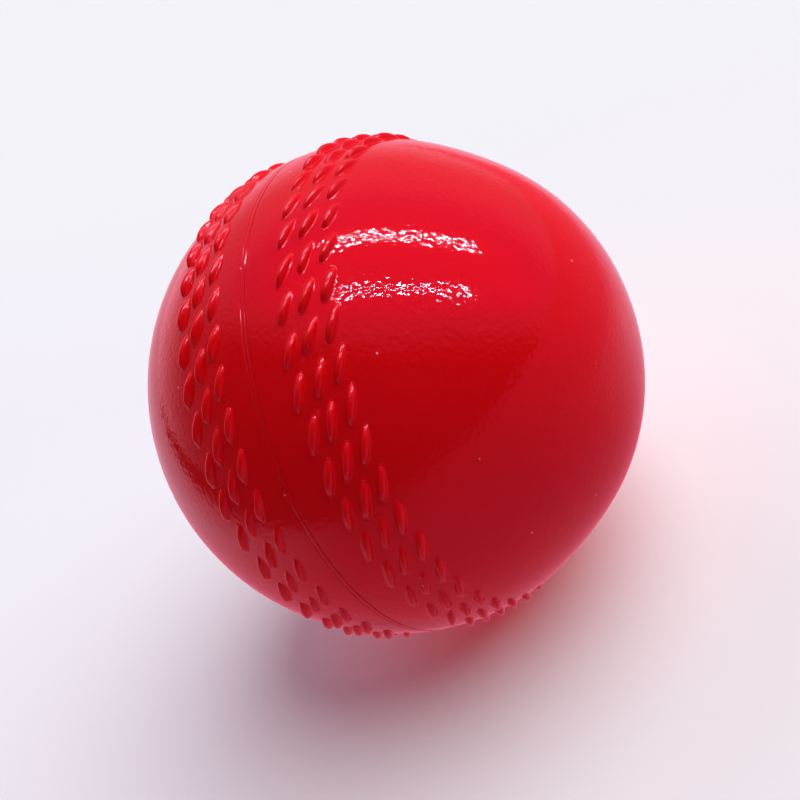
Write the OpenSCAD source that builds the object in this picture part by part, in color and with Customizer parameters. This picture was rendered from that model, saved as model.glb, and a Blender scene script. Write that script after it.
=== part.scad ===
// Cricket ball of the moulded practice kind, standing on its seam.
// The origin is the ball's centre. +X is the seam axis, square to the plane
// in which the two cover halves meet, and +Z is up.

/* [Ball] */
// Diameter over the smooth cover, without the stitches
ball_d = 72; // [64:0.5:76]
// Wall thickness of the moulded cover
cover_t = 4; // [3.5:0.25:5]

/* [Parting line] */
// Width of the weld bead along the parting line
bead_w = 0.7; // [0.5:0.1:1.2]
// Height of the bead above the cover
bead_h = 0.08; // [0.04:0.02:0.2]
// Depth of the vee that the bead fills
bead_depth = 0.8; // [0.5:0.1:1.1]
// Width of the locating tongue on the right-hand rim
tongue_w = 1.2; // [0.8:0.1:1.4]
// Height of the locating tongue
tongue_h = 0.8; // [0.5:0.1:1.2]
// Gap left round the tongue in its groove
tongue_gap = 0.1; // [0.05:0.05:0.15]

/* [Stitches] */
// Moulded stitches in each row, an even number
stitch_count = 42; // [30:2:44]
// Rows of stitches on each half
row_count = 3; // [1:1:3]
// Length of one stitch along its crown
stitch_l = 4.8; // [3.5:0.1:5]
// Width of one stitch
stitch_w = 1.2; // [0.8:0.1:1.6]
// Height of a stitch above the cover
stitch_h = 0.85; // [0.5:0.05:1]
// Angle between a stitch and the seam
stitch_slant = 20; // [0:1:30]

/* [Right-hand rows] */
// Distance over the cover from the parting line to the first row
right_first = 6; // [4.5:0.1:7]
// Distance from one row to the next
right_gap = 2.85; // [2.5:0.05:3.5]
// Turn of the first row about the seam axis, in degrees
right_turn = 8.4; // [0:0.1:12]
// Shift of each further row, as a share of the stitch spacing
right_shift = -0.21; // [-0.5:0.01:0.5]

/* [Left-hand rows] */
// Distance over the cover from the parting line to the first row
left_first = 4.9; // [4.5:0.1:7]
// Distance from one row to the next
left_gap = 3.05; // [2.5:0.05:3.5]
// Turn of the first row about the seam axis, in degrees
left_turn = 1.9; // [0:0.1:12]
// Shift of each further row, as a share of the stitch spacing
left_shift = 0.43; // [-0.5:0.01:0.5]

/* [Core] */
// Diameter of the cork-rubber centre
centre_d = 27; // [24:0.5:30]
// Thickness of each cork layer
cork_t = 3.5; // [2.5:0.25:4]
// Thickness of the inner and the middle yarn winding
yarn_t = 3.5; // [2.5:0.25:4]
// Cork strips in each layer, an even number
strip_count = 6; // [4:2:8]
// Gap between neighbouring strips
strip_gap = 0.6; // [0.3:0.1:1]

/* [Hidden] */

ball_r = ball_d / 2;
cover_in_r = ball_r - cover_t;
tongue_r = cover_in_r + (cover_t - bead_depth) / 2;

// Radii of the core, from the centre outwards
centre_r = centre_d / 2;
inner_winding_r = centre_r + yarn_t;
inner_cork_r = inner_winding_r + cork_t;
middle_winding_r = inner_cork_r + yarn_t;
outer_cork_r = middle_winding_r + cork_t;

// A stitch is a bent round bar. Its crown is an arc that rises stitch_h
// above the cover and meets it again stitch_l further on.
bar_r = stitch_w / 2;
crown_rise = stitch_h + stitch_l ^ 2 / (8 * ball_r);
crown_r = (stitch_l ^ 2 / 4 + crown_rise ^ 2) / (2 * crown_rise);
bar_sweep = 130;

profile_fn = 180;
bar_fn = 32;

// Turns a shape made about Z so that its axis lies along X
module along_seam_axis() {
  rotate([0, 90, 0]) children();
}

// One stitch at the top of the ball, lying along the seam
module stitch() {
  translate([0, 0, ball_r + stitch_h - crown_r])
    rotate([0, -90, 0])
      rotate([0, 0, -bar_sweep / 2])
        rotate_extrude(angle = bar_sweep, $fn = 64)
          translate([crown_r - bar_r, 0])
            circle(bar_r, $fn = bar_fn);
}

// The rows of one half: side is 1 on the right and -1 on the left
module stitch_rows(side, first, gap, turn, shift) {
  pitch = 360 / stitch_count;
  for (row = [0 : row_count - 1])
    for (k = [0 : stitch_count - 1])
      rotate([turn + (k + row * shift) * pitch, 0, 0])
        rotate([0, side * (first + row * gap) / ball_r * 180 / PI, 0])
          rotate([0, 0, -stitch_slant])
            stitch();
}

// Section of one cover half. The parting plane is the lower edge, and its
// outer corner is cut away to half of the vee.
module cover_section() {
  difference() {
    intersection() {
      circle(ball_r, $fn = profile_fn);
      square(ball_r);
    }
    circle(cover_in_r, $fn = profile_fn);
    polygon([
      [ball_r - bead_depth, 0],
      [ball_r - bead_depth, -1],
      [ball_r + bead_depth, -1],
      [ball_r + bead_depth, bead_w],
    ]);
  }
}

// Section of the tongue, made larger by grow on every side
module tongue_section(grow) {
  translate([tongue_r - tongue_w / 2 - grow, -tongue_h - grow])
    square([tongue_w + 2 * grow, tongue_h + grow + 0.2]);
}

module cover_half_right() {
  color([0.86, 0.05, 0.1]) union() {
    along_seam_axis()
      rotate_extrude($fn = profile_fn)
        union() {
          cover_section();
          tongue_section(0);
        }
    stitch_rows(1, right_first, right_gap, right_turn, right_shift);
  }
}

module cover_half_left() {
  color([0.8, 0.04, 0.09]) union() {
    along_seam_axis()
      rotate_extrude($fn = profile_fn)
        difference() {
          mirror([0, 1]) cover_section();
          tongue_section(tongue_gap);
        }
    stitch_rows(-1, left_first, left_gap, left_turn, left_shift);
  }
}

// The ring of weld that fills the vee and shows as the parting line
module seam_weld_bead() {
  edge = bead_w / 2;
  color([0.7, 0.03, 0.07]) along_seam_axis()
    rotate_extrude($fn = profile_fn)
      polygon([
        [ball_r - bead_depth, 0],
        [ball_r, -edge],
        [ball_r + bead_h, bead_h - edge],
        [ball_r + bead_h, edge - bead_h],
        [ball_r, edge],
      ]);
}

module hollow_ball(outer_r, inner_r) {
  difference() {
    sphere(outer_r, $fn = profile_fn);
    sphere(inner_r, $fn = profile_fn);
  }
}

// Cork strips that curve from pole to pole of the X axis
module cork_strips(outer_r, inner_r) {
  difference() {
    hollow_ball(outer_r, inner_r);
    for (k = [0 : strip_count / 2 - 1])
      rotate([k * 360 / strip_count, 0, 0])
        cube([3 * outer_r, strip_gap, 3 * outer_r], center = true);
  }
}

module outer_winding() {
  color([0.87, 0.78, 0.6]) hollow_ball(cover_in_r, outer_cork_r);
}

module outer_cork_layer() {
  color([0.66, 0.45, 0.26]) cork_strips(outer_cork_r, middle_winding_r);
}

module middle_winding() {
  color([0.9, 0.83, 0.67]) hollow_ball(middle_winding_r, inner_cork_r);
}

// Laid across the strips of the outer layer
module inner_cork_layer() {
  color([0.6, 0.4, 0.22]) rotate([0, 90, 0])
    cork_strips(inner_cork_r, inner_winding_r);
}

module inner_winding() {
  color([0.87, 0.78, 0.6]) hollow_ball(inner_winding_r, centre_r);
}

module core_centre() {
  color([0.3, 0.2, 0.14]) sphere(centre_r, $fn = profile_fn);
}

cover_half_right();
cover_half_left();
seam_weld_bead();
outer_winding();
outer_cork_layer();
middle_winding();
inner_cork_layer();
inner_winding();
core_centre();
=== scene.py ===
"""A moulded practice cricket ball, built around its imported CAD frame.

The seam axis is X, the parting plane is YZ, and the ball stands on its seam.
A point on the cover is named by its turn about the seam axis (0 at the top,
growing towards -Y) and by its reach, the distance over the cover from the
parting line.
"""

import math
import random

import bpy
from mathutils import Matrix, Vector


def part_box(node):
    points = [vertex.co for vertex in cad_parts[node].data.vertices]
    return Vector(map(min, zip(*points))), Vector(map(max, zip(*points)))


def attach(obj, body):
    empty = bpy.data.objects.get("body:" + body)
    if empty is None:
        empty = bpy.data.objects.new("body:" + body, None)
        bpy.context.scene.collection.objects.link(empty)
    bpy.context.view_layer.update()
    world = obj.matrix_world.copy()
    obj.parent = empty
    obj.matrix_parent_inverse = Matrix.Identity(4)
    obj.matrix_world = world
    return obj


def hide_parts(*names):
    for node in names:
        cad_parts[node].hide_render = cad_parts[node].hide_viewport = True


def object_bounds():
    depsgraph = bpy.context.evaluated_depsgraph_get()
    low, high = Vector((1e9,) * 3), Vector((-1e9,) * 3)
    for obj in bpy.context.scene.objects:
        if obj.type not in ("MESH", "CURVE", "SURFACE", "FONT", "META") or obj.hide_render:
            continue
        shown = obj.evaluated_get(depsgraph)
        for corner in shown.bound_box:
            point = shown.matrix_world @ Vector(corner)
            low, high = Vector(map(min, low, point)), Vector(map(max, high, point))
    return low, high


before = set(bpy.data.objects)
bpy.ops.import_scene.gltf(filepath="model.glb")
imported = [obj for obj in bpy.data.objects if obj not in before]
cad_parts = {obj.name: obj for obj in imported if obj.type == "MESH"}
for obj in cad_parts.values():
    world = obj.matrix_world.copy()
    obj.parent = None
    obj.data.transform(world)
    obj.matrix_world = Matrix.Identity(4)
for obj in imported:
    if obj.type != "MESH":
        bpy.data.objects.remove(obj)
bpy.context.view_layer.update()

MM = 0.001
TAU = 2 * math.pi

# --- Sizes, from the frame and as the CAD has them -------------------------

BALL_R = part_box("cover_half_right")[1][0]
COVER_T = BALL_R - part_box("outer_winding")[1][0]
BEAD_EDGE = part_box("seam_weld_bead")[1][0]
BEAD_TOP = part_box("seam_weld_bead")[1][2]
VEE_DEPTH = 0.8 * MM
TONGUE_W = 1.2 * MM
TONGUE_H = -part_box("cover_half_right")[0][0]
GROOVE_GAP = 0.1 * MM

STITCH_COUNT = 42
STITCH_L = 4.8 * MM
STITCH_W = 1.2 * MM
STITCH_H = 0.85 * MM
STITCH_SLANT = math.radians(20)
PITCH = TAU / STITCH_COUNT

# side, reach of the first row, gap between rows, turn of the first row and
# shift of each further row as a share of the pitch
HALVES = {
    "right": dict(side=1, first=6.0 * MM, gap=2.85 * MM, turn=8.4, shift=-0.21),
    "left": dict(side=-1, first=4.9 * MM, gap=3.05 * MM, turn=1.9, shift=0.43),
}
ROWS = 3

# Mesh density: points along one pitch, up one cell side and round a stitch
STEPS = 16
SIDE_STEPS = 8
LOOP = 2 * (STEPS + SIDE_STEPS)
COLUMNS = STEPS * STITCH_COUNT


# --- Mesh helpers ----------------------------------------------------------


class Surface:
    """Collects the points and faces of one mesh."""

    def __init__(self):
        self.points = []
        self.dullness = []
        self.faces = []

    def point(self, p):
        return self.loop([p])[0]

    def loop(self, points, dull=0.0):
        """Adds a closed loop of points and returns their numbers. Dull is how
        matt the mould left them, from 0 to 1."""
        first = len(self.points)
        self.points.extend(points)
        self.dullness.extend([dull] * len(points))
        return list(range(first, len(self.points)))

    def strip(self, a, b):
        """Joins two closed loops of equal length with quads."""
        n = len(a)
        for i in range(n):
            j = (i + 1) % n
            self.faces.append((a[i], a[j], b[j], b[i]))

    def halve(self, a, b, inside=False):
        """Joins loop a to loop b, which has half as many points. Inside turns
        the faces over."""
        n = len(b)
        for i in range(n):
            start, middle, end = a[2 * i], a[2 * i + 1], a[(2 * i + 2) % len(a)]
            three = (start, middle, b[i])
            four = (middle, end, b[(i + 1) % n], b[i])
            self.faces.append(three[::-1] if inside else three)
            self.faces.append(four[::-1] if inside else four)

    def fan(self, a, tip, inside=False):
        for i in range(len(a)):
            face = (a[i], a[(i + 1) % len(a)], tip)
            self.faces.append(face[::-1] if inside else face)

    def build(self, name, material, flip=False):
        mesh = bpy.data.meshes.new(name)
        faces = [tuple(reversed(f)) for f in self.faces] if flip else self.faces
        mesh.from_pydata([tuple(p) for p in self.points], [], faces)
        mesh.validate()
        mesh.polygons.foreach_set("use_smooth", [True] * len(mesh.polygons))
        dull = mesh.attributes.new("dull", "FLOAT", "POINT")
        dull.data.foreach_set("value", self.dullness)
        mesh.update()
        piece = bpy.data.objects.new(name, mesh)
        bpy.context.collection.objects.link(piece)
        mesh.materials.append(material)
        return piece


def around(count, offset=0.0):
    """Turns of evenly spaced points, counter-clockwise seen from +X."""
    return [offset + TAU * i / count for i in range(count)]


def on_axis_ring(x, r, turn):
    return (x, -r * math.sin(turn), r * math.cos(turn))


# --- The cover halves ------------------------------------------------------


# Where the right-hand half is off the true sphere: degrees from the parting
# line, spread in degrees, and rise as a share of the radius
OFF_ROUND = ((36, 15, -0.014), (78, 22, 0.008))


def true_radius(side, reach):
    """Radius of the smooth cover. The right-hand half came out of its mould
    a little flatter on the shoulder and fuller at the pole."""
    if side < 0:
        return BALL_R
    lat = math.degrees(reach / BALL_R)
    rise = sum(most * math.exp(-(((lat - mid) / spread) ** 2)) for mid, spread, most in OFF_ROUND)
    return BALL_R * (1 + rise)


def on_cover(side, reach, turn, height=0.0):
    lat = side * reach / BALL_R
    r = true_radius(side, reach) + height
    return on_axis_ring(r * math.sin(lat), r * math.cos(lat), turn)


class Stitch:
    """One moulded stitch: a grain with a lens outline and a domed section.
    Loops of points run round it, starting at the end towards growing turn."""

    # How far the crown's ends draw in, the outline's power (1 is an ellipse,
    # less is fatter), and where the crown is highest
    TIP_PULL = 0.06
    FATNESS = 0.72
    PEAK = 0.15
    # Powers of the crown before and after its peak, and of the dome across it
    GENTLE, STEEP = 2, 3
    FLAT, ROUND = 2.3, 0.62
    # How unevenly the stitches were cut into the mould: in place (mm), as
    # shares of their size, and in slant (degrees)
    REACH_SPREAD, TURN_SPREAD = 0.05, 0.1
    L_RANGE, W_RANGE, H_RANGE = (0.95, 1.05), (0.92, 1.08), (0.86, 1.04)
    SLANT_SPREAD = 1.5

    def __init__(self, side, reach, turn, rng):
        self.side = side
        self.reach = reach + rng.gauss(0, self.REACH_SPREAD) * MM
        self.turn = turn + rng.gauss(0, self.TURN_SPREAD) * MM / BALL_R
        self.half_l = STITCH_L / 2 * rng.uniform(*self.L_RANGE)
        self.half_w = STITCH_W / 2 * rng.uniform(*self.W_RANGE)
        self.height = STITCH_H * rng.uniform(*self.H_RANGE)
        slant = side * (STITCH_SLANT + math.radians(rng.gauss(0, self.SLANT_SPREAD)))
        self.cos, self.sin = math.cos(slant), math.sin(slant)
        self.across = BALL_R * math.cos(self.reach / BALL_R)

    def crown(self, share):
        """Height of the crown at a share of the half length. It rises gently
        from one end and ends more steeply at the other."""
        away = share - self.PEAK
        if away < 0:
            fall = (-away / (1 + self.PEAK)) ** self.GENTLE
        else:
            fall = (away / (1 - self.PEAK)) ** self.STEEP
        return self.height * max(0.0, 1 - fall)

    def place(self, s, w, height):
        turn = self.turn + (s * self.cos + w * self.sin) / self.across
        reach = self.reach - s * self.sin + w * self.cos
        return on_cover(self.side, reach, turn, height), (turn, reach)

    def outline(self, angle, grow=0.0):
        """Lengthways and crossways place of an outline point, moved outwards
        by grow."""
        c, s = math.cos(angle), math.sin(angle)
        along = (self.half_l + grow) * c
        out = (self.half_w + grow) * math.copysign(abs(s) ** self.FATNESS, s)
        return along, out

    def foot_loop(self, grow, height):
        """A loop outside the flank, where the stitch meets the cover."""
        loop = []
        for j in range(LOOP):
            angle = TAU * j / LOOP
            along, out = self.outline(angle, grow)
            local = self.crown((1 - self.TIP_PULL / 2) * math.cos(angle))
            loop.append(self.place(along, out, height * local / self.height))
        return loop

    def dome_loop(self, width):
        """A loop over the dome, at a share of the outline's width."""
        loop = []
        rise = (1 - width ** self.FLAT) ** self.ROUND
        for j in range(LOOP):
            along, out = self.outline(TAU * j / LOOP)
            along *= 1 - self.TIP_PULL * (1 - width)
            height = self.crown(along / self.half_l) * rise
            loop.append(self.place(along, out * width, height))
        return loop


# How far each loop of the flat ground lies from the cell's edge (1) to the
# stitch's foot (0), the foot's fillet, and the dome's loops by width
GROUND = (0.62, 0.3, 0.1)
FILLET = ((0.24 * MM, 0.0), (0.12 * MM, 0.02 * MM), (0.03 * MM, 0.09 * MM))
DOME = (0.96, 0.85, 0.66, 0.4, 0.13)


def stitch_cell(surface, stitch, edge, edge_places):
    """Fills one cell of a row: its edge loop, the ground and the stitch."""
    foot = stitch.foot_loop(*FILLET[0])
    previous = edge
    for share in GROUND:
        points = []
        for (turn_e, reach_e), (_, (turn_f, reach_f)) in zip(edge_places, foot):
            turn = turn_f + (turn_e - turn_f) * share
            reach = reach_f + (reach_e - reach_f) * share
            points.append(on_cover(stitch.side, reach, turn))
        ring = surface.loop(points)
        surface.strip(previous, ring)
        previous = ring
    loops = [foot] + [stitch.foot_loop(*f) for f in FILLET[1:]]
    loops += [stitch.dome_loop(w) for w in DOME]
    for number, loop in enumerate(loops):
        dull = min(1.0, number / len(FILLET))
        ring = surface.loop([p for p, _ in loop], dull)
        surface.strip(previous, ring)
        previous = ring
    # The crown is closed with a strip between the two long sides
    half = LOOP // 2
    for i in range(half):
        a, b = previous[i], previous[i + 1]
        c, d = previous[-i - 1], previous[-i]
        if i == 0:
            surface.faces.append((a, b, c))
        elif i == half - 1:
            surface.faces.append((a, b, d))
        else:
            surface.faces.append((a, b, c, d))


def stitch_row(surface, half, row, low, low_reach, high, high_reach, rng):
    """One row of cells between two rings of the cover."""
    side = half["side"]
    start = math.radians(half["turn"])
    grid = PITCH / STEPS
    centre = round(STEPS * row * half["shift"] - 0.5 * side)
    low_corner = centre - STEPS // 2 + 2 * side
    high_corner = centre - STEPS // 2 - side
    # The slanting sides between neighbouring cells
    sides = []
    for k in range(STITCH_COUNT):
        places = []
        for i in range(1, SIDE_STEPS):
            share = i / SIDE_STEPS
            turn = low_corner + (high_corner - low_corner) * share + k * STEPS
            reach = low_reach + (high_reach - low_reach) * share
            places.append((start + turn * grid, reach))
        ring = surface.loop([on_cover(side, r, t) for t, r in places])
        sides.append((ring, places))
    middle = SIDE_STEPS // 2
    for k in range(STITCH_COUNT):
        left, left_places = sides[k]
        right, right_places = sides[(k + 1) % STITCH_COUNT]
        if k + 1 == STITCH_COUNT:
            right_places = [(t + TAU, r) for t, r in right_places]
        top = range(high_corner + (k + 1) * STEPS, high_corner + k * STEPS - 1, -1)
        base = range(low_corner + k * STEPS, low_corner + (k + 1) * STEPS + 1)
        edge = right[middle - 1:] + [high[i % COLUMNS] for i in top]
        edge += left[::-1] + [low[i % COLUMNS] for i in base]
        edge += right[:middle - 1]
        places = right_places[middle - 1:]
        places += [(start + i * grid, high_reach) for i in top]
        places += left_places[::-1]
        places += [(start + i * grid, low_reach) for i in base]
        places += right_places[:middle - 1]
        turn = start + (k + row * half["shift"]) * PITCH
        reach = half["first"] + row * half["gap"]
        stitch_cell(surface, Stitch(side, reach, turn, rng), edge, places)


# The cover's rings. The skin starts a little outside the bead. Past the rows
# the columns halve wherever they would stand closer than the least width.
SKIN_GAP = 0.12 * MM
SKIN_RINGS = 11
SKIN_EASE = 1.1
RING_STEP, WIDE_STEP = 0.45 * MM, 0.85 * MM
LEAST_WIDTH = 0.42 * MM
POLE_GAP = 1.2 * MM
# The rim's rounded corner: how far from the bead's edge, and how deep
RIM_CORNER = ((0.03 * MM, 0.012 * MM), (-0.02 * MM, 0.06 * MM))
CHAMFER = 0.12 * MM
WALL_STEP = 2.2 * MM
WALL_LEAST_WIDTH = 1.1 * MM


def cover_half(name, material, seed):
    """A moulded half of the cover: outer skin with its stitches, rounded rim,
    vee, tongue or groove, and the inner wall."""
    half = HALVES[name]
    side = half["side"]
    rng = random.Random(seed)
    surface = Surface()
    start = math.radians(half["turn"])
    turns = around(COLUMNS, start)

    def cover_ring(reach, count=COLUMNS):
        step = COLUMNS // count
        return surface.loop([on_cover(side, reach, t) for t in turns[::step]])

    def section_ring(x, r, count):
        step = COLUMNS // count
        return surface.loop([on_axis_ring(side * x, r, t) for t in turns[::step]])

    # Outer skin, from the bead's edge to the first row
    low_reach = half["first"] - half["gap"] / 2
    skin_start = BEAD_EDGE + SKIN_GAP
    ring = cover_ring(skin_start)
    rim_ring = ring
    for i in range(1, SKIN_RINGS + 1):
        share = (i / SKIN_RINGS) ** SKIN_EASE
        nxt = cover_ring(skin_start + (low_reach - skin_start) * share)
        surface.strip(ring, nxt)
        ring = nxt
    # The rows of stitches
    for row in range(ROWS):
        high_reach = low_reach + half["gap"]
        nxt = cover_ring(high_reach)
        stitch_row(surface, half, row, ring, low_reach, nxt, high_reach, rng)
        ring, low_reach = nxt, high_reach
    # From the last row to the pole, with fewer columns as the rings shrink
    pole_reach = BALL_R * math.pi / 2
    count = COLUMNS
    reach = low_reach
    while reach < pole_reach - POLE_GAP:
        width = TAU * BALL_R * math.cos(reach / BALL_R) / count
        fewer = count % 2 == 0 and width < LEAST_WIDTH
        reach += RING_STEP if count == COLUMNS else WIDE_STEP
        if fewer:
            count //= 2
        nxt = cover_ring(reach, count)
        (surface.halve if fewer else surface.strip)(ring, nxt)
        ring = nxt
    surface.fan(ring, surface.point(on_cover(side, pole_reach, 0.0)))

    # Rim: a rounded outer corner, then the vee down to its bottom
    ring = rim_ring
    for beyond, drop in RIM_CORNER:
        nxt = section_ring(BEAD_EDGE + beyond, BALL_R - drop, COLUMNS)
        surface.strip(nxt, ring)
        ring = nxt
    count = COLUMNS
    bottom = BALL_R - VEE_DEPTH
    nxt = section_ring(0.0, bottom, count // 2)
    surface.halve(ring, nxt, inside=True)
    ring = nxt
    count //= 2
    # Face of the rim with the tongue (right) or the groove (left)
    wall_in = BALL_R - COVER_T
    middle = wall_in + (COVER_T - VEE_DEPTH) / 2
    grow = 0.0 if side > 0 else GROOVE_GAP
    depth = -TONGUE_H if side > 0 else TONGUE_H + GROOVE_GAP
    half_w = TONGUE_W / 2 + grow
    inward = -1 if side > 0 else 1
    section = [
        (0.0, middle + half_w),
        (depth - inward * CHAMFER, middle + half_w),
        (depth, middle + half_w - CHAMFER),
        (depth, middle - half_w + CHAMFER),
        (depth - inward * CHAMFER, middle - half_w),
        (0.0, middle - half_w),
        (0.0, wall_in),
    ]
    for x, r in section:
        nxt = section_ring(x, r, count)
        surface.strip(nxt, ring)
        ring = nxt
    # Inner wall
    reach = 0.0
    while reach < pole_reach - 1.5 * WALL_STEP:
        reach += WALL_STEP
        lat = reach / BALL_R
        width = TAU * wall_in * math.cos(lat) / count
        fewer = count % 2 == 0 and width < WALL_LEAST_WIDTH
        if fewer:
            count //= 2
        nxt = section_ring(wall_in * math.sin(lat), wall_in * math.cos(lat), count)
        if fewer:
            surface.halve(ring, nxt, inside=True)
        else:
            surface.strip(nxt, ring)
        ring = nxt
    tip = surface.point((side * wall_in, 0.0, 0.0))
    surface.fan(ring, tip, inside=True)
    return surface.build(f"cover_{name}", material, flip=side < 0)


# Half of the bead's section, from the bottom of the vee to the crown: how far
# from the parting plane, and how far above the cover
BEAD_SECTION = [
    (0.0, -0.78 * MM),
    (0.17 * MM, -0.34 * MM),
    (0.27 * MM, -0.12 * MM),
    (0.31 * MM, -0.05 * MM),
    (0.27 * MM, 0.0),
    (0.14 * MM, 0.025 * MM),
    (0.0, 0.03 * MM),
]


def bead(material):
    """The ring of weld in the vee between the halves."""
    surface = Surface()
    turns = around(COLUMNS // 2)
    mirrored = [(-x, rise) for x, rise in BEAD_SECTION[-2:0:-1]]
    rings = [
        surface.loop([on_axis_ring(x, BALL_R + rise, t) for t in turns])
        for x, rise in BEAD_SECTION + mirrored
    ]
    for ring, nxt in zip(rings, rings[1:] + rings[:1]):
        surface.strip(ring, nxt)
    return surface.build("weld_ring", material, flip=True)


STRAND_SIDES = 6
STRAND_STEPS = 44
# How far the strand sinks and rises as a share of its radius, and how often
STRAND_SWAY = 0.25
STRAND_SWAYS = 3.1
SHELL_LEVELS, SHELL_COLUMNS = 24, 48


def winding(name, node, inner, strand_d, turns, drift, material):
    """A layer of yarn down to the radius inner: a packed shell, and one strand
    wound over it in near great circles whose plane drifts at each turn."""
    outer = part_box(node)[1][2]
    surface = Surface()
    packed = outer - strand_d
    for radius, inside in ((packed, False), (inner, True)):
        rings = [surface.point((0, 0, radius))]
        for level in range(1, SHELL_LEVELS):
            lat = math.pi * level / SHELL_LEVELS
            flat, rise = radius * math.sin(lat), radius * math.cos(lat)
            turned = around(SHELL_COLUMNS)
            rings.append(surface.loop([(flat * math.cos(t), flat * math.sin(t), rise) for t in turned]))
        surface.fan(rings[1], rings[0], inside)
        for ring, nxt in zip(rings[1:], rings[2:]):
            if inside:
                surface.strip(ring, nxt)
            else:
                surface.strip(nxt, ring)
        surface.fan(rings[-1], surface.point((0, 0, -radius)), not inside)
    # The strand
    path = []
    for i in range(turns * STRAND_STEPS + 1):
        t = TAU * i / STRAND_STEPS
        depth = 0.5 * strand_d * (1.0 + STRAND_SWAY * math.sin(STRAND_SWAYS * t * drift[0]))
        p = Vector((math.cos(t), math.sin(t), 0.0)) * (outer - depth)
        p.rotate(Matrix.Rotation(t * drift[0], 3, "X"))
        p.rotate(Matrix.Rotation(t * drift[1], 3, "Z"))
        path.append(p)
    # Each point's place in the strand: the length along it, and the section's
    # cosine and sine. The shells built above have none.
    rings, lay = [], [(0.0, 0.0, 0.0)] * len(surface.points)
    run = 0.0
    for i, p in enumerate(path):
        before, after = path[max(i - 1, 0)], path[min(i + 1, len(path) - 1)]
        ahead = (after - before).normalized()
        out = p.normalized()
        side = ahead.cross(out)
        run += (p - before).length
        ring = []
        for angle in around(STRAND_SIDES):
            ring.append(p + (side * math.cos(angle) + out * math.sin(angle)) * strand_d / 2)
            lay.append((run, math.cos(angle), math.sin(angle)))
        rings.append(surface.loop(ring))
    for ring, nxt in zip(rings, rings[1:]):
        surface.strip(nxt, ring)
    surface.fan(rings[0], surface.point(path[0]))
    surface.fan(rings[-1], surface.point(path[-1]), True)
    lay += [(0.0, 0.0, 0.0), (run, 0.0, 0.0)]
    piece = surface.build(name, material)
    spiral = piece.data.attributes.new("lay", "FLOAT_VECTOR", "POINT")
    spiral.data.foreach_set("vector", [value for place in lay for value in place])
    return piece


# --- Materials -------------------------------------------------------------


def new_material(name):
    material = bpy.data.materials.new(name)
    material.use_nodes = True
    tree = material.node_tree
    shader = tree.nodes["Principled BSDF"]
    return material, tree, shader


def fill(tree, node, inputs):
    """Links each input of a node to a socket, or sets it to a value."""
    for key, value in inputs.items():
        if isinstance(value, bpy.types.NodeSocket):
            tree.links.new(value, node.inputs[key])
        else:
            node.inputs[key].default_value = value


def add(tree, kind, inputs=None, **settings):
    """Adds a node, sets its properties, and fills its inputs."""
    node = tree.nodes.new(kind)
    for key, value in settings.items():
        setattr(node, key, value)
    fill(tree, node, inputs or {})
    return node


def maths(tree, operation, a, b=0.0):
    return add(tree, "ShaderNodeMath", {0: a, 1: b}, operation=operation).outputs["Value"]


def ramp(tree, value, low, high, to=(0.0, 1.0), smooth=False):
    """Value as it goes from low to high, mapped to the range and clamped."""
    kind = "SMOOTHSTEP" if smooth else "LINEAR"
    inputs = {"Value": value, "From Min": low, "From Max": high, "To Min": to[0], "To Max": to[1]}
    return add(tree, "ShaderNodeMapRange", inputs, interpolation_type=kind).outputs["Result"]


def blend(tree, share, a, b):
    """A colour that is a where share is 0 and b where it is 1. Each is a
    colour of three parts, or a socket."""
    inputs = {"Factor": share}
    for key, colour in (("A", a), ("B", b)):
        inputs[key] = colour if isinstance(colour, bpy.types.NodeSocket) else (*colour, 1)
    return add(tree, "ShaderNodeMix", inputs, data_type="RGBA").outputs["Result"]


def noise(tree, place, scale, detail):
    inputs = {"Vector": place, "Scale": scale, "Detail": detail}
    return add(tree, "ShaderNodeTexNoise", inputs).outputs["Fac"]


def bump(tree, height, depth, over=None):
    """The normal over a relief, which may lie on top of another one."""
    inputs = {"Height": height, "Distance": depth}
    if over:
        inputs["Normal"] = over
    return add(tree, "ShaderNodeBump", inputs).outputs["Normal"]


# The cover's skin: how many of its clouds, smudges, waves and grains there are
# in a metre, and how deep the relief is
CLOUDS, SMUDGES, WAVES, GRAIN = 90, 160, 300, 1600
WAVE_DEPTH, GRAIN_DEPTH, DUST_DEPTH = 0.018 * MM, 0.036 * MM, 0.05 * MM
SMUDGE_ROUGHNESS = (0.03, 0.06)
DULL_ROUGHNESS = 0.16
# Its dust: the cells in a metre, the share of them with a speck, and the
# speck's edge and core as shares of a cell
DUST_CELLS, DUST_SHARE = 320, 0.22
DUST_EDGE, DUST_CORE = 0.06, 0.03
DUST_COLOUR = (0.9, 0.35, 0.4)


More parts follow.
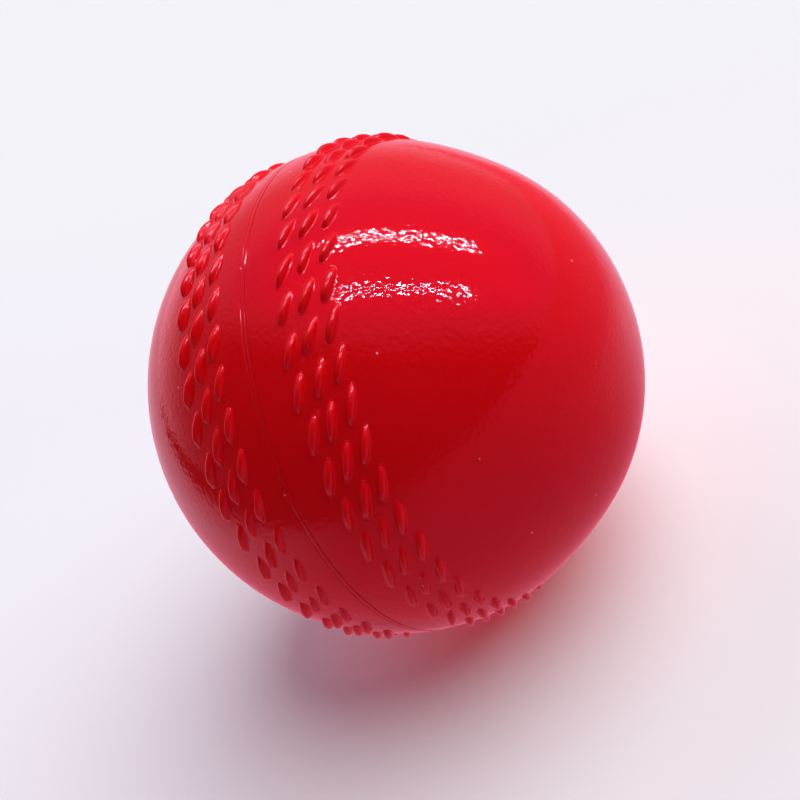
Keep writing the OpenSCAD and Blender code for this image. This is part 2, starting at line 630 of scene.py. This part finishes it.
def pvc(name, colour, worn):
    """Glossy moulded plastic: a slightly uneven, finely grained skin with
    smudges, and specks of dust. It is more matt where the mesh says dull."""
    material, tree, shader = new_material(name)
    place = add(tree, "ShaderNodeTexCoord").outputs["Object"]

    clouded = blend(tree, noise(tree, place, CLOUDS, 2), colour, worn)
    cells = add(tree, "ShaderNodeTexVoronoi", {"Vector": place, "Scale": DUST_CELLS}).outputs
    lot = add(tree, "ShaderNodeSeparateColor", {0: cells["Color"]}).outputs[0]
    chosen = maths(tree, "GREATER_THAN", lot, 1 - DUST_SHARE)
    dust = maths(tree, "MULTIPLY", ramp(tree, cells["Distance"], DUST_EDGE, DUST_CORE), chosen)

    smudged = ramp(tree, noise(tree, place, SMUDGES, 3), 0, 1, SMUDGE_ROUGHNESS)
    dull = add(tree, "ShaderNodeAttribute", attribute_name="dull").outputs["Fac"]
    rough = add(tree, "ShaderNodeMix", {"Factor": dull, "A": smudged, "B": DULL_ROUGHNESS})

    normal = bump(tree, noise(tree, place, WAVES, 1), WAVE_DEPTH)
    normal = bump(tree, noise(tree, place, GRAIN, 0.5), GRAIN_DEPTH, normal)
    looks = {
        "Base Color": blend(tree, dust, clouded, DUST_COLOUR),
        "Roughness": rough.outputs["Result"],
        "Normal": bump(tree, dust, DUST_DEPTH, normal),
        "IOR": 1.5,
        "Specular Tint": (1.0, 0.5, 0.75, 1),
        "Subsurface Weight": 0.25,
        "Subsurface Radius": (1.0, 0.12, 0.1),
        "Subsurface Scale": 1.2 * MM,
    }
    fill(tree, shader, looks)
    return material


# The yarn: the length of one twist, how much its plies stand out against the
# fuzz, how many tufts of fuzz there are in a metre, how deep it all is, and the
# heights that are darkest and lightest
TWIST_L = 1.6 * MM
PLY_SHARE = 0.5
FUZZ = 3500
YARN_DEPTH = 0.15 * MM
YARN_TONES = (-0.1, 1.1)


def yarn(name, light, dark):
    """Twisted wool: plies that spiral round the strand, under a soft fuzz. The
    mesh's lay says where in the strand each point is."""
    material, tree, shader = new_material(name)
    place = add(tree, "ShaderNodeTexCoord").outputs["Object"]
    lay = add(tree, "ShaderNodeAttribute", attribute_name="lay").outputs["Vector"]
    part = add(tree, "ShaderNodeSeparateXYZ", {0: lay}).outputs
    twist = maths(tree, "MULTIPLY", part["X"], TAU / TWIST_L)
    ply = maths(
        tree,
        "ADD",
        maths(tree, "MULTIPLY", maths(tree, "SINE", twist), part["Y"]),
        maths(tree, "MULTIPLY", maths(tree, "COSINE", twist), part["Z"]),
    )
    height = maths(tree, "MULTIPLY", ply, PLY_SHARE)
    height = maths(tree, "ADD", height, noise(tree, place, FUZZ, 3))
    # Painted shade: the colour darkens with the relief, in the grooves between the plies, and the fuzz
    # adds a random tone
    looks = {
        "Base Color": blend(tree, ramp(tree, height, *YARN_TONES), dark, light),
        "Normal": bump(tree, height, YARN_DEPTH),
        "Roughness": 0.9,
        "Sheen Weight": 0.4,
    }
    fill(tree, shader, looks)
    return material


# The gap between grains as a share of a grain, the sum of a grain's own shade
# and its specks that is lightest, and how much finer the specks are
GRAIN_GAP = 0.08
LIGHTEST = 1.3
SPECKS = 6


def granules(name, light, dark, scale, rough, pit):
    """Grains pressed together, as in cork or a cork and rubber mix. Scale is
    the number in a metre, and pit the depth of the gaps between them."""
    material, tree, shader = new_material(name)
    place = add(tree, "ShaderNodeTexCoord").outputs["Object"]
    cells = {"Vector": place, "Scale": scale}
    grains = add(tree, "ShaderNodeTexVoronoi", cells).outputs["Color"]
    edges = add(tree, "ShaderNodeTexVoronoi", cells, feature="DISTANCE_TO_EDGE").outputs["Distance"]
    shade = add(tree, "ShaderNodeSeparateColor", {0: grains}).outputs[0]
    shade = maths(tree, "ADD", shade, noise(tree, place, SPECKS * scale, 4))
    gap = ramp(tree, edges, 0, GRAIN_GAP)
    tone = ramp(tree, maths(tree, "MULTIPLY", shade, gap), 0, LIGHTEST)
    looks = {
        "Base Color": blend(tree, tone, dark, light),
        "Normal": bump(tree, gap, pit),
        "Roughness": rough,
    }
    fill(tree, shader, looks)
    return material


# --- Pieces ----------------------------------------------------------------

FIRST_SEED = 11
red = pvc("moulded_pvc", colour=(0.8, 0.003, 0.006), worn=(0.76, 0.003, 0.007))
for seed, name in enumerate(HALVES, FIRST_SEED):
    piece = cover_half(name, red, seed)
    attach(piece, "root")
    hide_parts(f"cover_half_{name}")

piece = bead(red)
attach(piece, "root")
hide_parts("seam_weld_bead")

wool = yarn("wool_yarn", light=(0.78, 0.72, 0.6), dark=(0.42, 0.36, 0.27))
# Each winding: the radius of what it is wound over, the strand's diameter, its
# turns, and how far its plane drifts about X and Z for each radian of winding
WINDINGS = {
    "inner_winding": (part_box("core_centre")[1][2], 1.0 * MM, 60, (0.037, 0.0613)),
    "middle_winding": (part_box("inner_cork_layer")[1][2], 1.0 * MM, 78, (0.0311, 0.0507)),
    "outer_winding": (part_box("outer_cork_layer")[1][2], 1.1 * MM, 100, (0.0237, 0.0391)),
}
for node, (inner, strand_d, turns, drift) in WINDINGS.items():
    piece = winding(f"yarn_{node}", node, inner, strand_d, turns, drift, wool)
    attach(piece, "root")
    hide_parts(node)

# The cork layers and the core keep their CAD meshes and get materials
cork = granules(
    "pressed_cork",
    light=(0.86, 0.6, 0.36),
    dark=(0.28, 0.15, 0.07),
    scale=700,
    rough=0.85,
    pit=0.1 * MM,
)
cork_rubber = granules(
    "cork_and_rubber",
    light=(0.5, 0.3, 0.16),
    dark=(0.05, 0.045, 0.04),
    scale=500,
    rough=0.6,
    pit=0.05 * MM,
)
CARRIED = {"outer_cork_layer": cork, "inner_cork_layer": cork, "core_centre": cork_rubber}
for node, material in CARRIED.items():
    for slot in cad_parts[node].material_slots:
        slot.material = material

# --- Stage, light and camera ----------------------------------------------

# The camera, as fitted to the photograph. It looks at the ball's centre, and
# its turn is counted from -Y towards +X.
AZIMUTH, ELEVATION, ROLL = (math.radians(a) for a in (32.64, 30.53, 34.51))
DISTANCE = 4.66 * BALL_R
SENSOR, LENS = 36, 50.8
LENS_SHIFT = (0.005625, -0.018125)
CLIP_START = 0.01

back = Vector(
    (
        math.sin(AZIMUTH) * math.cos(ELEVATION),
        -math.cos(AZIMUTH) * math.cos(ELEVATION),
        math.sin(ELEVATION),
    )
)
level_right = Vector((0, 0, 1)).cross(back).normalized()
level_up = back.cross(level_right)
right = level_right * math.cos(ROLL) - level_up * math.sin(ROLL)
up = level_up * math.cos(ROLL) + level_right * math.sin(ROLL)


def toward(x, y, z):
    """A direction given as the camera sees it: right, up and back."""
    return right * x + up * y + back * z


camera_data = bpy.data.cameras.new("camera")
camera = bpy.data.objects.new("camera", camera_data)
bpy.context.collection.objects.link(camera)
camera_data.sensor_width = SENSOR
camera_data.lens = LENS
camera_data.clip_start = CLIP_START
turned = Matrix((right, up, back)).transposed()
camera.matrix_world = Matrix.Translation(back * DISTANCE) @ turned.to_4x4()
camera_data.shift_x, camera_data.shift_y = LENS_SHIFT
bpy.context.scene.camera = camera

# The paper under the ball, with painted shade: a little pinker and darker towards the camera
PAPER_FAR = (0.88, 0.91, 0.9)
PAPER_NEAR_PAINTED_SHADE = (0.88, 0.86, 0.9)
PAPER_ROUGHNESS = 0.9
# Painted reflection, an emission that only glossy rays see: what the ball's gloss
# shows of the paper. It has a painted shadow under the ball and painted red bounce where
# the ball would light it and further out. It is dim towards the camera, and pale behind the ball and to
# its left.
PAINTED_REFLECTION_UNDER = (0.35, 0.05, 0.09)
PAINTED_REFLECTION_CLOSE = (0.95, 0.17, 0.27)
PAINTED_REFLECTION_RIGHT = (0.95, 0.16, 0.24)
PAINTED_REFLECTION_FRONT = (0.1, 0.03, 0.04)
PAINTED_REFLECTION_BEHIND = (0.95, 0.48, 0.64)
PAINTED_REFLECTION_LEFT = (0.95, 0.46, 0.6)


def paper():
    """The floor's paper, under a painted reflection that glossy rays see in its place. Distances on it
    are in radii of the ball.
    """
    material, tree, shader = new_material("floor_paper_and_painted_reflection")
    place = add(tree, "ShaderNodeTexCoord").outputs["Object"]

    def along(axis):
        """How far out a point is in an axis's level direction."""
        level = Vector((axis.x, axis.y, 0)).normalized()
        inputs = {0: place, 1: tuple(level)}
        return add(tree, "ShaderNodeVectorMath", inputs, operation="DOT_PRODUCT").outputs["Value"]

    def fade(value, low, high):
        return ramp(tree, value, low * BALL_R, high * BALL_R, smooth=True)

    def times(a, b):
        return maths(tree, "MULTIPLY", a, b)

    away, across = along(up), along(right)
    reach = add(tree, "ShaderNodeVectorMath", {0: place}, operation="LENGTH").outputs["Value"]
    # Painted shade: the paper's colour turns pinker and darker towards the camera
    looks = {
        "Base Color": blend(tree, fade(away, -3, 5), PAPER_NEAR_PAINTED_SHADE, PAPER_FAR),
        "Roughness": PAPER_ROUGHNESS,
        "Specular IOR Level": 0.0,
    }
    fill(tree, shader, looks)

    # Painted reflection: masks and colours that glossy rays see on the floor in place of the paper,
    # with a painted shadow under the ball and painted red bounce round it
    behind = times(fade(away, 0.4, 2.0), fade(across, 3.2, 1.3))
    left = times(fade(across, -1.0, -4.0), fade(away, -7.0, -2.0))
    seen = blend(tree, fade(reach, 0.3, 1.0), PAINTED_REFLECTION_UNDER, PAINTED_REFLECTION_CLOSE)
    seen = blend(tree, fade(reach, 2.4, 4.5), seen, PAINTED_REFLECTION_RIGHT)
    seen = blend(tree, fade(away, -1.5, -9.0), seen, PAINTED_REFLECTION_FRONT)
    seen = blend(tree, behind, seen, PAINTED_REFLECTION_BEHIND)
    seen = blend(tree, left, seen, PAINTED_REFLECTION_LEFT)
    # Painted reflection: the floor glows with these colours for glossy rays only
    painted_reflection = add(tree, "ShaderNodeEmission", {"Color": seen})
    by_gloss = add(tree, "ShaderNodeLightPath").outputs["Is Glossy Ray"]
    inputs = {0: by_gloss, 1: shader.outputs[0], 2: painted_reflection.outputs[0]}
    shown = add(tree, "ShaderNodeMixShader", inputs)
    fill(tree, tree.nodes["Material Output"], {"Surface": shown.outputs[0]})
    material.cycles.emission_sampling = "NONE"
    return material


# Half the floor's width in metres
FLOOR_REACH = 8.0
floor_mesh = bpy.data.meshes.new("floor")
floor_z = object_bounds()[0][2]
corners = [(-1, -1), (1, -1), (1, 1), (-1, 1)]
floor_points = [(x * FLOOR_REACH, y * FLOOR_REACH, floor_z) for x, y in corners]
floor_mesh.from_pydata(floor_points, [], [(0, 1, 2, 3)])
floor = bpy.data.objects.new("floor", floor_mesh)
bpy.context.collection.objects.link(floor)
floor_mesh.materials.append(paper())
floor.visible_diffuse = False

# How far off the lamps are. Their own sizes are for a lamp 1 m away.
ROOM = 4.0
TUBE_COLOUR = (0.8, 1.0, 0.88)


def tube_light(name, centre, length, width, radiance):
    """A bright tube that faces the ball and shows only in its gloss. Its power
    follows from its size and how bright it looks."""
    data = bpy.data.lights.new(name, "AREA")
    data.shape = "RECTANGLE"
    data.size, data.size_y = length * ROOM, width * ROOM
    data.color = TUBE_COLOUR
    data.energy = radiance * data.size * data.size_y * math.pi
    lamp = bpy.data.objects.new(name, data)
    bpy.context.collection.objects.link(lamp)
    facing = centre.normalized()
    side = (right - facing * right.dot(facing)).normalized()
    axes = Matrix((side, facing.cross(side), facing)).transposed()
    lamp.matrix_world = Matrix.Translation(centre * ROOM) @ axes.to_4x4()
    lamp.visible_diffuse = False


def ceiling_glow(toward_it, spread, strength):
    """The ceiling's light, which shows only in the colours and the shadow."""
    data = bpy.data.lights.new("ceiling_glow", "SUN")
    data.angle = spread
    data.energy = strength
    lamp = bpy.data.objects.new("ceiling_glow", data)
    bpy.context.collection.objects.link(lamp)
    lamp.rotation_mode = "QUATERNION"
    lamp.rotation_quaternion = toward_it.to_track_quat("Z", "Y")
    lamp.visible_glossy = False


# What the gloss shows of the room, by colour and strength
CEILING, CEILING_WARM, CEILING_GLOW = (0.9, 0.16, 0.42), (3.0, 0.16, 0.42), 0.95
BEYOND, BEYOND_GLOW = (1.5, 0.7, 0.88), 0.22
RIM_GLOW, LEFT_RIM_GLOW = 0.5, 0.3
DARK_GLOW = 0.02
# What lights the ball softly: from beyond it, from below, and all round
SOFT, SOFT_BEYOND, SOFT_BELOW, SOFT_ROUND = (0.94, 0.82, 1.04), 0.9, 0.85, 0.05
SKY = (0.905, 0.896, 0.947)


def room():
    """The room round the stage. The gloss, the soft light and the camera each
    see their own."""
    world = bpy.data.worlds.new("room")
    world.use_nodes = True
    tree = world.node_tree
    tree.nodes.clear()
    direction = add(tree, "ShaderNodeTexCoord").outputs["Generated"]
    ray = add(tree, "ShaderNodeLightPath").outputs

    def share_along(axis, low, high):
        """0 to 1 as the cosine of the angle to an axis goes from low to high."""
        inputs = {0: direction, 1: tuple(axis)}
        dot = add(tree, "ShaderNodeVectorMath", inputs, operation="DOT_PRODUCT")
        return ramp(tree, dot.outputs["Value"], low, high, smooth=True)

    def times(a, b):
        return maths(tree, "MULTIPLY", a, b)

    def plus(a, b):
        return maths(tree, "ADD", a, b)

    def background(colour, strength):
        inputs = {"Color": colour, "Strength": strength}
        return add(tree, "ShaderNodeBackground", inputs).outputs[0]

    def either(share, a, b):
        return add(tree, "ShaderNodeMixShader", {0: share, 1: a, 2: b}).outputs[0]

    # The gloss: a ceiling, warmer over the camera, a dimmer mauve room beyond
    # the ball that brightens towards its rim, and the dark side at the camera
    beyond = times(share_along(back, 0.3, -0.4), share_along(up, -1.1, -0.1))
    rim = times(share_along(back, -0.3, -0.95), share_along(up, -0.7, 0.1))
    left_rim = times(share_along(-right, 0.15, 0.5), share_along(back, -0.25, -0.7))
    left_rim = times(left_rim, share_along(up, 0.8, 0.2))
    ceiling = times(share_along(up, 0.2, 0.6), share_along(back, -0.6, 0.1))
    warm = times(share_along(up, 0.3, 0.65), share_along(back, 0.05, 0.45))
    seen = plus(times(beyond, BEYOND_GLOW), times(rim, RIM_GLOW))
    seen = plus(seen, times(left_rim, LEFT_RIM_GLOW))
    seen = plus(seen, times(ceiling, CEILING_GLOW))
    tint = blend(tree, ceiling, BEYOND, blend(tree, warm, CEILING, CEILING_WARM))
    gloss = background(tint, plus(seen, DARK_GLOW))

    soft = times(share_along(back, 0.5, -0.4), SOFT_BEYOND)
    soft = plus(soft, times(share_along(-up, 0.3, 1.0), SOFT_BELOW))
    light = background((*SOFT, 1), plus(soft, SOFT_ROUND))

    lit = either(ray["Is Glossy Ray"], light, gloss)
    shown = either(ray["Is Camera Ray"], lit, background((*SKY, 1), 1.0))
    add(tree, "ShaderNodeOutputWorld", {"Surface": shown})
    return world


tube_light("far_tube", toward(0.015, 1.0, 0.39), length=0.97, width=0.012, radiance=185)
tube_light("near_tube", toward(0.035, 1.0, 1.08), length=1.33, width=0.0145, radiance=155)
ceiling_glow(toward(0.14, 0.88, 0.46), spread=math.radians(65), strength=2.9)
bpy.context.scene.world = room()
bpy.context.scene.view_settings.view_transform = "Standard"
